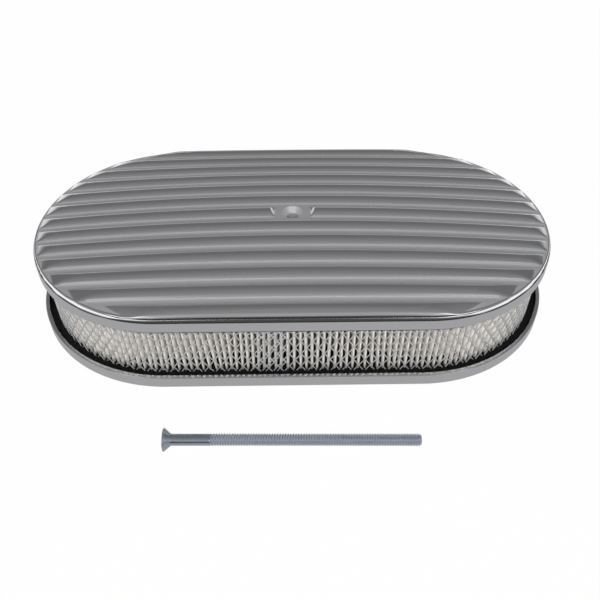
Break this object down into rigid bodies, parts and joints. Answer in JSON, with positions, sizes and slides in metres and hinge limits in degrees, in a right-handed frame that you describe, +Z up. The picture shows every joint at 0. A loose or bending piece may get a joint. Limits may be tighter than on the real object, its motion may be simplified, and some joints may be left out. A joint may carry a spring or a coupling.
{
  "type": "carburetor air cleaner",
  "caption": "Oval carburetor air cleaner: finned cast lid, shallow cast base, pleated paper element between diamond mesh screens, and a long countersunk hold-down screw.",
  "frame": {"origin": "centre of the carburetor neck's bore, on the plane that the base stands on", "axes": "+X along the fins of the lid, +Y across them towards the side away from the loose screw, +Z up along the neck's bore"},
  "size_m": [0.3886, 0.2673, 0.0754],
  "materials": {
    "polished_lid": "polished",
    "polished_base": "polished",
    "screen_wire": "satin",
    "filter_paper": "matt",
    "seal_rubber": "satin",
    "gasket_rubber": "matt",
    "zinc_screw": "zinc plated"
  },
  "bodies": {
    "root": {"base": "polished_base", "neck_gasket": "gasket_rubber", "bottom_seal": "seal_rubber", "top_seal": "seal_rubber", "pleated_paper": "filter_paper", "outer_screen": "screen_wire", "inner_screen": "screen_wire", "lid": "polished_lid", "hold_down_screw": "zinc_screw"}
  },
  "joints": []
}
